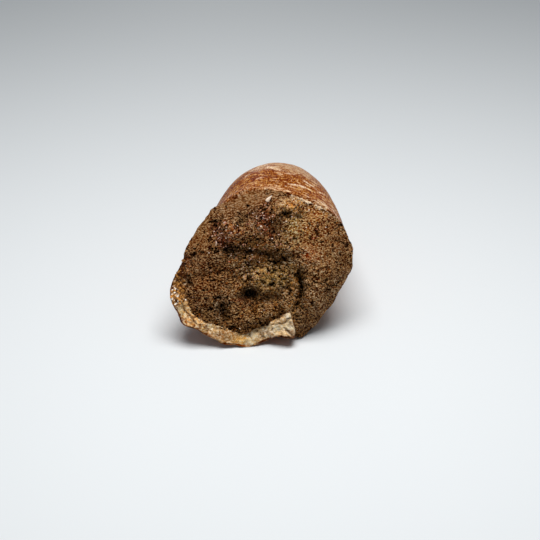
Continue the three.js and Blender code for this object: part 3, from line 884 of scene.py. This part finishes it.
# Clear cream blocks on the mound: (a, b, half-width, half-height, colour).
CLEAR_BLOCKS = [
    (-1.66, -1.3, 0.3, 0.27, tone(232, 192, 130)), (-0.58, -1.39, 0.42, 0.46, tone(196, 170, 124)),
    (0.58, -1.5, 0.36, 0.44, tone(222, 186, 128)), (-2.74, -2.42, 0.46, 0.44, tone(240, 200, 160)),
    (-2.2, -2.0, 0.24, 0.22, tone(226, 186, 140)), (1.7, 0.2, 0.5, 0.3, tone(200, 146, 94)),
]


def clear_blocks(a, b):
    """The clear blocks: how far inside one a place is, 0 to 1, how much it lies in the black gap
    round one, and the block's colour."""
    wavy = 0.35 * smooth_noise(on_plane(a, b), 0.5, 191)
    inside = gap = 0 * wavy
    colour = np.zeros((*np.shape(a), 3))
    for middle_a, middle_b, half_width, half_height, own in CLEAR_BLOCKS:
        away = np.hypot((a - middle_a) / half_width, (b - middle_b) / half_height) + wavy
        within = 1 - ease(away, 0.75, 1.1)
        colour = laid_over(colour, own, within)
        inside = np.maximum(inside, within)
        gap = np.maximum(gap, bell(away, 1.35, 0.28))
    return inside, gap * (1 - inside), colour


def coarse_share(a, b):
    """How coarse the break is: 0 on the smooth places, about 0.35 in general, 1 where it crumbles."""
    return (0.35 + 0.65 * spots(a, b, COARSE_PLACES)) * (1 - 0.85 * spots(a, b, SMOOTH_PLACES))


def crumbs(a, b, size, seed):
    """Rounded crumbs with sharp creases between them, 0 in a crease: the size of a smooth noise,
    plus that of one half as wide. On the right they are drawn out into low ridges across."""
    across = ease(a, 4, 9)
    lengthwise, crosswise = 0.94 * a - 0.34 * b, 0.34 * a + 0.94 * b
    places = on_plane(lengthwise * (1 - 0.45 * across), crosswise * (1 + 0.25 * across))
    wide = np.abs(roughness(places, size, seed, 2, 0.4))
    narrow = np.abs(roughness(places, size / 2.2, seed + 7, 2, 0.5))
    return 0.65 * np.minimum(wide / 0.45, 1) + 0.35 * np.minimum(narrow / 0.4, 1)


def stone_texture(a, b):
    """The crumbly surface on the forms: rough noise, crumbs, packed grains and blocks, with clefts
    and pits sunk into it."""
    places = on_plane(a, b)
    coarse = coarse_share(a, b)
    grains = packed_grains(places[..., :2], 0.42, 81)
    loose = 0.4 * roughness(places, 1.8, 71, 5, 0.6) + 0.55 * (crumbs(a, b, 1.5, 131) - 0.5)
    fine = (0.25 + 0.75 * coarse) * (0.16 * grains + 0.18 * crumbs(a, b, 0.6, 151))
    blocky, block_height = blocks(a, b)
    block, block_gap, _ = clear_blocks(a, b)
    fine = fine + 0.3 * blocky * (block_height - 0.6) + 0.25 * block - 0.25 * block_gap
    return coarse * loose + fine - stone_clefts(a, b) - 0.45 * stone_pits(a, b)


def stone_surface(a, b):
    """The whole height of the sandstone's face."""
    return stone_forms(a, b) + stone_texture(a, b)


STONE_COLUMNS = 640
FACE_ROWS, SIDE_ROWS = 128, 14
# How the side narrows towards the back: (share of the depth, share of the radius).
SIDE_RINGS = [(0, 1), (0.2, 0.985), (0.45, 0.94), (0.72, 0.84), (1, 0.72)]
STONE_DEPTH = -7.5


def stone_point(reach, angle):
    """A point of the sandstone: reach runs from 0 in the middle to 1 at its edge, and from 1 to 2
    back along its side. Its height comes from the forms and the texture there."""
    on_face = np.minimum(reach, 1)
    back = np.clip(reach - 1, 0, 1)
    ragged = 0.16 * roughness(round_crown(angle, 3 * back), 1.4, 101, 4)
    radius = outline(STONE_OUTLINE, angle, 0.7) + ragged
    shares = np.interp(back, *np.array(SIDE_RINGS).T)
    a = on_face * shares * radius * np.cos(angle)
    b = on_face * shares * radius * np.sin(angle)
    face_height = stone_surface(on_face * radius * np.cos(angle), on_face * radius * np.sin(angle))
    height = mix(face_height, STONE_DEPTH, back)
    side_grains = 0.12 * smooth_noise(np.stack([a, b, height], -1), 0.4, 111) * (back > 0)
    swell = 1 + side_grains / np.maximum(radius, 1)
    return break_point(a * swell, b * swell, height)


stone_angle = np.arange(STONE_COLUMNS) / STONE_COLUMNS * 2 * np.pi
stone_reach = np.concatenate([np.linspace(0, 1, FACE_ROWS), 1 + np.linspace(0, 1, SIDE_ROWS + 1)[1:]])
reach_grid, angle_grid = np.meshgrid(stone_reach, stone_angle, indexing="ij")
stone_rings = stone_point(reach_grid, angle_grid)
stone_back = np.broadcast_to(stone_rings[-1].mean(axis=0), (1, STONE_COLUMNS, 3))
stone_rings = np.concatenate([stone_rings, stone_back])
stone = ring_mesh("sandstone_fill", stone_rings)

STONE_BASE = tone(150, 105, 61)
DARK_BROWN = tone(50, 27, 12)
DEEP_RED = tone(106, 34, 12)
GARNET = tone(122, 44, 16)
SHOULDER_BROWN = tone(136, 96, 68)
KNOB_TAN = tone(204, 146, 100)
CREAM_SAND = tone(214, 168, 108)
OLIVE_GREY = tone(140, 122, 82)
OCHRE = tone(206, 154, 84)
PAINTED_PIT_SHADE = tone(20, 12, 8)
# The whole break is warmer and darker than its stains: a factor for each channel.
STONE_SHADE = np.array([0.93, 0.78, 0.50])
# Stains on the break, and two spots of painted shade: (a, b, half-width, half-height, strength, colour).
STONE_STAINS = [
    (-5.0, 9.2, 5.5, 2.2, 0.9, SHOULDER_BROWN),
    (0.5, 10.4, 3.0, 1.4, 0.8, SHOULDER_BROWN),
    (-10.5, 3.5, 2.6, 4.0, 0.5, tone(140, 92, 56)),
    (9.5, 3.0, 4.5, 5.0, 0.5, tone(192, 140, 90)),
    (6.8, 4.2, 1.8, 3.4, 0.65, OCHRE),
    (-9.0, -3.5, 4.0, 3.6, 0.65, tone(146, 90, 46)),
    (9.6, -5.0, 3.6, 5.4, 0.6, tone(160, 118, 76)),
    (-9.6, 0.4, 3.0, 2.6, 0.4, tone(120, 72, 42)),
    (-4.4, 5.2, 1.8, 1.6, 0.95, KNOB_TAN),
    (-7.0, 5.4, 0.9, 1.2, 0.9, DEEP_RED),
    (-6.4, 3.7, 1.2, 1.3, 0.92, DEEP_RED),
    (-5.0, 2.0, 1.7, 1.1, 0.95, tone(38, 18, 8)),
    (-1.5, 1.6, 3.2, 1.0, 0.8, tone(64, 36, 14)),
    (3.0, 1.4, 2.2, 0.7, 0.5, DARK_BROWN),
    (-3.1, 6.8, 1.2, 1.1, 0.92, tone(76, 38, 2)),
    (-1.8, 3.4, 1.6, 0.9, 0.75, tone(100, 54, 4)),
    (0.4, 7.0, 1.4, 2.2, 0.9, GARNET),
    (1.6, 4.6, 0.9, 1.3, 0.7, DEEP_RED),
    (4.8, 9.0, 2.2, 1.1, 0.95, tone(240, 202, 150)),
    (3.9, 7.7, 0.7, 0.4, 0.8, DARK_BROWN),
    (5.9, 7.2, 0.6, 0.3, 0.7, DARK_BROWN),
    (6.2, 6.7, 0.9, 0.7, 0.7, OLIVE_GREY),
    (5.2, 4.6, 1.3, 2.0, 0.9, tone(212, 186, 134)),
    (5.0, 6.0, 0.8, 0.6, 0.85, tone(200, 184, 142)),
    (9.0, 7.4, 1.9, 1.3, 0.8, tone(208, 156, 92)),
    (7.5, 0.8, 1.6, 1.3, 0.85, tone(208, 154, 108)),
    (1.6, -2.5, 4.0, 2.4, 0.85, tone(178, 154, 108)),
    (-0.9, -1.6, 1.9, 0.9, 0.7, tone(236, 200, 150)),
    (-0.2, 0.5, 2.4, 0.5, 0.5, tone(128, 74, 34)),
    (-2.2, -2.4, 0.8, 0.7, 0.6, CREAM_SAND),
    # The next two are painted shade: in the deep pit and in the cleft on the mound's right.
    (-2.1, -5.1, 1.5, 0.9, 0.97, PAINTED_PIT_SHADE),
    (6.3, -4.1, 0.45, 1.9, 0.95, PAINTED_PIT_SHADE),
    (5.4, -7.2, 0.9, 1.3, 0.7, DARK_BROWN),
    (-4.1, -3.9, 0.9, 1.0, 0.7, tone(186, 124, 60)),
    (-5.2, 3.6, 1.0, 0.7, 0.6, tone(168, 98, 62)),
    (-3.6, -6.0, 1.3, 0.25, 0.7, tone(150, 50, 24)),
    (-2.2, -6.7, 1.2, 0.45, 0.6, DEEP_RED),
    (0.2, -7.9, 4.2, 1.5, 0.5, tone(146, 98, 36)),
    (0.5, -10.0, 2.0, 0.8, 0.6, DARK_BROWN),
    (-6.7, -7.5, 1.0, 2.0, 0.8, DARK_BROWN),
    (-8.8, -7.8, 1.0, 1.0, 0.5, DARK_BROWN),
    (-12.0, 1.0, 0.8, 1.2, 0.6, DEEP_RED),
]


def stain_at(a, b):
    """The sandstone's own colour at a place, before grains and creases."""
    return STONE_SHADE * stained(STONE_BASE, a, b, STONE_STAINS)


def gap_depth(a, b):
    """How strongly single grains and their gaps show: about 0.3 on the smooth places, 1.6 in general
    and 2.6 where the break crumbles. The clear blocks show little of them."""
    general = 1.1 + 1.5 * coarse_share(a, b) - 0.85 * spots(a, b, SMOOTH_PLACES)
    return (general - 0.15 * ease(a, 6, 10)) * (1 - 0.75 * clear_blocks(a, b)[0])


def painted_shade_by_wall(a, b):
    """Painted shade in the corner along the bare wall, where the sandstone lies below the wall's lip, from
    0 to 1.2.
    """
    angle = np.arctan2(b, a)
    reach = np.hypot(a, b) / outline(STONE_OUTLINE, angle)
    return 1.2 * ease(reach, 0.86, 1) * bumps(angle, [(262, 34, 1), (215, 12, 0.5)])


def stone_tint(a, b):
    """The sandstone's colour: its stains, much darker in the creases between crumbs and grains, partly
    dark cement and partly painted shade.
    """
    places = on_plane(a, b)
    coarse = coarse_share(a, b)
    blotches = (0.1 + 0.2 * coarse) * roughness(places, 0.9, 121, 4, 0.75)
    creases = 1.9 * coarse * (crumbs(a, b, 1.5, 131) - 0.7)
    creases = creases + (0.1 + 1.1 * coarse) * (crumbs(a, b, 0.6, 151) - 0.6)
    gaps = (0.1 + 0.5 * coarse) * (packed_grains(places[..., :2], 0.42, 81) - 0.6)
    blocky, block_height = blocks(a, b)
    gaps = gaps + 9 * blocky * (np.minimum(block_height, 0.7) - 0.59)
    # Painted shade in the clefts, in the pits and in the corner by the wall.
    dark = 2.0 * np.minimum(stone_clefts(a, b), 1) + 1.7 * stone_pits(a, b) + painted_shade_by_wall(a, b)
    block, block_gap, block_colour = clear_blocks(a, b)
    # The creases, grain gaps and gaps round the clear blocks are darkened, partly as painted shade.
    depth = 1 - 0.1 * coarse - 0.62 * (blotches + creases + gaps - dark) + 1.8 * block_gap
    return laid_over(deepened(stain_at(a, b), np.clip(depth, 0.55, 4)), block_colour, 0.75 * block)


stone_a, stone_b, stone_height = np.moveaxis(break_places(stone_rings), -1, 0)
set_tint(stone, poled(stone_tint(stone_a, stone_b)))
set_number(stone, "gaps", poled(gap_depth(stone_a, stone_b) * (1 - 0.45 * ease(-stone_height, 3.5, 6))))

stone_finish, add, surface = shader("iron_stained_sandstone")
place = add("TexCoord")["Object"]
cells = add("TexVoronoi", Vector=place, Scale=4400)
each_grain = add("SeparateColor", Color=cells["Color"])
gaps = attribute(add, "gaps")["Fac"]
fleck_noise = drawn_out_noise(add, place, (2800, 6000, 6000), 2, 0.7)
dash_noise = drawn_out_noise(add, place, (1500, 4600, 4600), 1, 0.5)
# The stain on each grain, in the gaps between them, in the hollows, in fine flecks and in dark dashes; the
# darker gaps and hollows are partly painted shade.
stain = ranged(add, each_grain["Red"], 0, 1, 0.4, -0.3)
for part_of_stain in (
    ranged(add, cells["Distance"], 0.42, 0.64, 0, 0.6),
    ranged(add, object_noise(add, 3100, 2, 0.6), 0.37, 0.44, 1.1, 0),
    ranged(add, fleck_noise, 0.42, 0.58, 1.1, -0.8),
    ranged(add, dash_noise, 0.36, 0.4, 1.9, 0),
):
    stain = worked_out(add, "ADD", stain, part_of_stain)
# How deep the stain is where no grain shows, and the least that it may be.
EVEN_STONE, LIGHTEST_STONE = 0.66, 0.52
stain_depth = worked_out(add, "MULTIPLY_ADD", stain, gaps, EVEN_STONE)
stain_depth = worked_out(add, "MAXIMUM", stain_depth, LIGHTEST_STONE)
colour = add("Gamma", attribute(add, "tint")["Color"], stain_depth)["Color"]
# The tops of some grains are pale, partly bare quartz and partly a painted highlight.
pale_tops_and_painted_glints = worked_out(add, "MULTIPLY", ranged(add, each_grain["Blue"], 0.86, 0.95, 0, 0.36), gaps)
surface({
    "Base Color": mixed(add, "RGBA", pale_tops_and_painted_glints, colour, linear(212, 158, 104)),
    "Roughness": ranged(add, each_grain["Green"], 0.3, 1, 0.65, 0.3),
    "Specular IOR Level": ranged(add, each_grain["Green"], 0.95, 0.99, 0.02, 0.4),
    "Specular Tint": (1.0, 0.72, 0.5, 1),
    "Normal": bumped(add, fleck_noise, 0.0005, 1.0),
})
stone.data.materials.append(stone_finish)
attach(stone, "root")
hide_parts("sandstone_matrix")

# ---- Sand grains --------------------------------------------------------------------------------
# Grains of quartz and feldspar stand half out of the broken sandstone. They are fine and medium sand,
# 0.15 to 0.5 mm across, angular, and coated brown, amber or cream. Each is a battered twenty-sided lump.

ball = bmesh.new()
bmesh.ops.create_icosphere(ball, subdivisions=1, radius=1)
BALL_POINTS = np.array([v.co for v in ball.verts])
BALL_FACES = np.array([[v.index for v in f.verts] for f in ball.faces])
ball.free()


def random_turns(chance, count):
    """Rotation matrices spread evenly, from random unit quaternions."""
    quaternion = chance.normal(size=(4, count))
    w, x, y, z = quaternion / np.linalg.norm(quaternion, axis=0)
    return np.stack([
        np.stack([1 - 2 * (y * y + z * z), 2 * (x * y - z * w), 2 * (x * z + y * w)], -1),
        np.stack([2 * (x * y + z * w), 1 - 2 * (x * x + z * z), 2 * (y * z - x * w)], -1),
        np.stack([2 * (x * z - y * w), 2 * (y * z + x * w), 1 - 2 * (x * x + y * y)], -1),
    ], 1)


def scattered(name, middles, sizes, colours, chance, finish):
    """Adds one mesh of many battered lumps: each has its middle, half-size and colour."""
    count = len(middles)
    lumps = BALL_POINTS * (1 + 0.16 * chance.normal(size=(count, len(BALL_POINTS), 1)))
    lumps = lumps * chance.uniform(0.7, 1.15, (count, 1, 3)) * sizes[:, None, None]
    points = np.einsum("nij,nkj->nki", random_turns(chance, count), lumps) + middles[:, None]
    faces = (BALL_FACES + len(BALL_POINTS) * np.arange(count)[:, None, None]).reshape(-1, 3)
    piece = new_piece(name, points.reshape(-1, 3), faces.tolist())
    set_tint(piece, np.repeat(colours, len(BALL_POINTS), axis=0))
    piece.data.materials.append(finish)
    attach(piece, "root")


grain_finish, add, surface = shader("sand_grain")
speckle = ranged(add, object_noise(add, 6000, 3), 0.3, 0.7, 1.3, 0.8)
surface({
    "Base Color": add("Gamma", attribute(add, "tint")["Color"], speckle)["Color"],
    "Roughness": 0.5,
    "Specular IOR Level": 0.1,
    "Specular Tint": (1.0, 0.75, 0.55, 1),
})

QUARTZ = tone(214, 176, 142)
GRAIN_TRIES = 24000
GRAIN_HALF_SIZE = 0.13

# Random places on the break's face, of which more are kept where it is coarse.
chance = np.random.default_rng(5)
angle = chance.uniform(0, 2 * np.pi, GRAIN_TRIES)
middles = stone_point(np.sqrt(chance.uniform(0, 0.98, GRAIN_TRIES)), angle)
a, b, _ = np.moveaxis(break_places(middles), -1, 0)
kept = chance.uniform(size=GRAIN_TRIES) < 0.7 * coarse_share(a, b) ** 2.5
a, b, middles = a[kept], b[kept], middles[kept]
half_sizes = GRAIN_HALF_SIZE * np.exp(0.3 * chance.normal(size=len(a)))
colours = deepened(stain_at(a, b), np.exp(0.25 * chance.normal(size=len(a))))
colours = mix(colours, QUARTZ, 0.3 * (chance.uniform(size=(len(a), 1)) < 0.08))
scattered("sand_grains", middles - 0.5 * half_sizes[:, None] * break_out, half_sizes, colours, chance,
          grain_finish)

# ---- Bright quartz grains -----------------------------------------------------------------------
# A few glossy grains of quartz on the knob, in the dark red crescent beside it, on the garnet ridge and on
# the mound. Their white and pink are painted glints, laid on over their own gloss.


def tinted_finish(name, matt, specular, highlight=(1.0, 1.0, 1.0)):
    """A plain finish in the piece's own tint, from glossy at 0 to matt at 1, with highlights of this
    strength and colour."""
    finish, add, surface = shader(name)
    surface({"Base Color": attribute(add, "tint")["Color"], "Roughness": matt,
             "Specular IOR Level": specular, "Specular Tint": (*highlight, 1)})
    return finish


QUARTZ_HALF_SIZE = 0.1
PAINTED_GLINT_WHITE = tone(254, 234, 216)
PAINTED_GLINT_PINK = tone(192, 108, 74)
# Where they lie: (a, b, half-width, half-height, how many).
GLINT_GRAIN_PLACES = [
    (-5.8, 6.4, 0.35, 0.15, 9), (-4.6, 5.2, 1.2, 0.9, 14), (-6.9, 4.2, 0.7, 1.1, 46),
    (0.2, 7.0, 1.2, 1.4, 60), (-1.4, -1.3, 1.2, 0.6, 14), (4.56, -2.4, 0.1, 0.05, 3),
    (4.0, 7.6, 1.6, 0.8, 16), (-3.6, 2.4, 1.8, 1.2, 20), (1.6, 3.0, 2.0, 1.6, 16),
    (0.6, -9.6, 2.4, 1.2, 14), (9.0, 6.0, 2.5, 2.0, 10), (-12.6, -1.8, 0.5, 2.4, 16),
    (-0.6, 1.4, 2.4, 0.8, 14),
]

chance = np.random.default_rng(29)
how_many = [row[4] for row in GLINT_GRAIN_PLACES]
middle_a, middle_b, wide, high = np.repeat(GLINT_GRAIN_PLACES, how_many, axis=0).T[:4]
a = middle_a + wide * chance.normal(size=len(wide))
b = middle_b + high * chance.normal(size=len(wide))
inside = np.hypot(a, b) < 0.96 * outline(STONE_OUTLINE, np.arctan2(b, a))
a, b = a[inside], b[inside]
middles = break_point(a, b, stone_surface(a, b) + 0.04)
half_sizes = QUARTZ_HALF_SIZE * np.exp(0.25 * chance.normal(size=len(a)))
# Painted glints: pink to white.
colours = mix(PAINTED_GLINT_PINK, PAINTED_GLINT_WHITE, chance.uniform(size=(len(a), 1)) ** 1.5)
scattered("quartz_grains_painted_glints", middles, half_sizes, colours, chance,
          tinted_finish("clean_quartz", 0.2, 0.15, (1.0, 0.8, 0.7)))

# ---- Rim crystals -------------------------------------------------------------------------------
# Small calcite crystals coat the broken wall where it is bare at the left: golden brown, some with
# white faces, 0.2 to 0.6 mm across. They grew on the break, and they are blocky and glassy.

HONEY = tone(228, 162, 84)
CRYSTAL_BROWN = tone(70, 34, 12)
CRYSTAL_WHITE = tone(254, 244, 228)
CRYSTALS = 300
CRYSTALS_FROM, CRYSTALS_TO = 175, 206
WHITE_BELOW = -3

# Each sits on a random vertex of the wall's broken face. They are browner higher up, and some below
# WHITE_BELOW are white, mostly along the outer edge.
chance = np.random.default_rng(19)
column = (chance.uniform(CRYSTALS_FROM, CRYSTALS_TO, CRYSTALS) / 360 * CROWN_COLUMNS).astype(int)
middles = rim_face[chance.integers(2, RIM_ROWS - 1, CRYSTALS), column]
half_sizes = chance.uniform(0.1, 0.3, CRYSTALS)
a, b, _ = break_places(middles).T
brown_share = np.clip(chance.uniform(size=CRYSTALS) + 0.5 * ease(b, -4.5, -0.5), 0, 1)
colours = laid_over(HONEY, CRYSTAL_BROWN, brown_share)
outermost = np.hypot(a, b) > np.quantile(np.hypot(a, b), 0.75)
white_chance = np.where(outermost, 0.22, 0.03) * (b <= WHITE_BELOW)
colours = laid_over(colours, CRYSTAL_WHITE, chance.uniform(size=CRYSTALS) < white_chance)
scattered("rim_crystals", middles - 0.3 * half_sizes[:, None] * break_out, half_sizes, colours, chance,
          tinted_finish("calcite", 0.25, 0.06))

# ---- Lime crust ---------------------------------------------------------------------------------
# A crumbly white crust of lime sticks to the seam between the enamel and the sandstone at the upper
# right, in lumps of 0.1 to 0.3 mm. It was left by water, and it is matt.

LIME_WHITE = tone(246, 226, 196)
LIME_TAN = tone(196, 150, 96)
CRUST_CRUMBS = 1000
CRUST_FROM, CRUST_TO = 31, 64
CRUMB_HALF_SIZE = 0.075

chance = np.random.default_rng(23)
crust_angle = np.radians(chance.uniform(CRUST_FROM, CRUST_TO, CRUST_CRUMBS))
middles = stone_point(1 + 0.018 * chance.normal(size=CRUST_CRUMBS), crust_angle)
kept = roughness(middles, 0.8, 141, 3, 0.8) > chance.uniform(0.0, 0.8, CRUST_CRUMBS)
middles = middles[kept] + 0.05 * break_out
half_sizes = CRUMB_HALF_SIZE * np.exp(0.35 * chance.normal(size=len(middles)))
colours = mix(LIME_WHITE, LIME_TAN, chance.uniform(size=(len(middles), 1)) ** 2)
scattered("lime_crust", middles, half_sizes, colours, chance, tinted_finish("lime", 0.8, 0.1))

# ---- White flake --------------------------------------------------------------------------------
# A splinter of pale dentine, 1.4 mm long, stuck flat to the sandstone near the top. It is broad and
# blunt at one end, pointed at the other, and thickest along its middle.

FLAKE_FROM, FLAKE_TO = (0.95, 9.6), (1.95, 10.6)
FLAKE_HALF_WIDTH = 0.4
FLAKE_HALF_THICKNESS = 0.12
FLAKE_LIFT = 0.4


def flake_rings(rows, columns):
    """Rings along the splinter. Each is a lens with two sharp edges. Its width grows as the root of
    four times the way along, and then falls as the rest of the way to the power of 0.8."""
    along = np.linspace(0, 1, rows)[:, None]
    turn = np.arange(columns) / columns * 2 * np.pi
    blunt = np.minimum((4 * along) ** 0.5, 1)
    wide = FLAKE_HALF_WIDTH * blunt * (1 - along) ** 0.8
    thick = FLAKE_HALF_THICKNESS * blunt * (1 - along) ** 0.5
    ends = np.array([FLAKE_FROM, FLAKE_TO])
    step = ends[1] - ends[0]
    aside = np.array([step[1], -step[0]]) / np.linalg.norm(step)
    place = ends[0] + along[..., None] * step + (wide * np.cos(turn))[..., None] * aside
    lift = FLAKE_LIFT + thick * np.sign(np.sin(turn)) * np.sin(turn) ** 2
    under = stone_surface(*ends.mean(axis=0)[:, None])
    return break_point(place[..., 0], place[..., 1], under + lift)


flake = ring_mesh("dentine_splinter", flake_rings(14, 24))
flake_finish, add, surface = shader("pale_dentine")
surface({
    "Base Color": linear(244, 220, 196),
    "Roughness": 0.5,
    "Normal": bumped(add, object_noise(add, 5000, 3), 0.00005, 1.0),
})
flake.data.materials.append(flake_finish)
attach(flake, "root")
